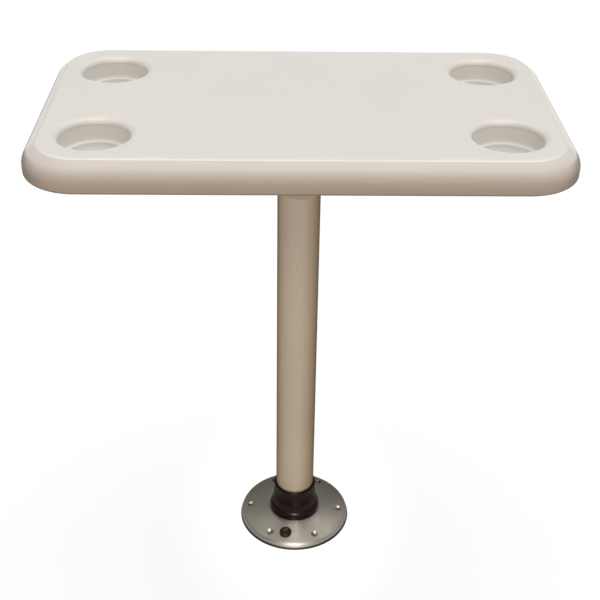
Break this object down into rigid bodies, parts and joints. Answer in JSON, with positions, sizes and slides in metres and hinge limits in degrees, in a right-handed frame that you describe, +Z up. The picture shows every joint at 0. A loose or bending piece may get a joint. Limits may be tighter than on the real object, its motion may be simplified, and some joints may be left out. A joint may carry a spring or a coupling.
{
  "type": "single pole camper table",
  "caption": "Moulded off-white table top with drink holders on one round aluminium post, which stands and turns in a black collar on a floor plate with a release button.",
  "frame": {"origin": "middle of the floor plate, on the floor", "axes": "+Z up along the post, +X along the long side of the top, -Y to the side with the release button"},
  "size_m": [0.686, 0.406, 0.733],
  "materials": {
    "off_white_moulding": "satin moulded plastic, off-white",
    "cast_bracket": "fine cast aluminium, satin",
    "zinc_screws": "zinc plated steel",
    "anodised_post": "satin anodised aluminium",
    "turned_plug": "turned aluminium",
    "pressed_plate": "satin pressed aluminium",
    "black_collar": "black moulded plastic, semi-matt",
    "zinc_sheet": "zinc plated sheet steel",
    "black_button": "black moulded plastic",
    "spring_wire": "drawn spring steel"
  },
  "bodies": {
    "base": {"base_plate": "pressed_plate", "socket_bush": "black_collar", "ring_nut": "black_collar", "lock_housing": "black_collar", "housing_cover": "zinc_sheet", "cover_screws": "zinc_screws", "button_spring": "spring_wire"},
    "post": {"post_tube": "anodised_post", "foot_plug": "turned_plug", "plug_rivets": "turned_plug", "table_bracket": "cast_bracket", "bracket_screws": "zinc_screws", "table_top": "off_white_moulding"},
    "button": {"release_button": "black_button"},
    "lock": {"lock_slide": "zinc_sheet"}
  },
  "joints": [
    {"name": "post_swivel", "type": "hinge", "parent": "base", "child": "post", "pos_m": [0, 0, 0], "axis": [0, 0, 1], "continuous": true},
    {"name": "button_press", "type": "slide", "parent": "base", "child": "button", "axis": [0, 0, -1], "range_m": [0, 0.003], "stiffness_N_per_m": 1500, "springref_m": -0.002, "deforming": ["button_spring"]},
    {"name": "lock_travel", "type": "slide", "parent": "base", "child": "lock", "axis": [-0.2334, -0.9724, 0], "range_m": [0, 0.003]}
  ],
  "couplings": [
    {"joint": "lock_travel", "follows": "button_press", "ratio": 1}
  ]
}
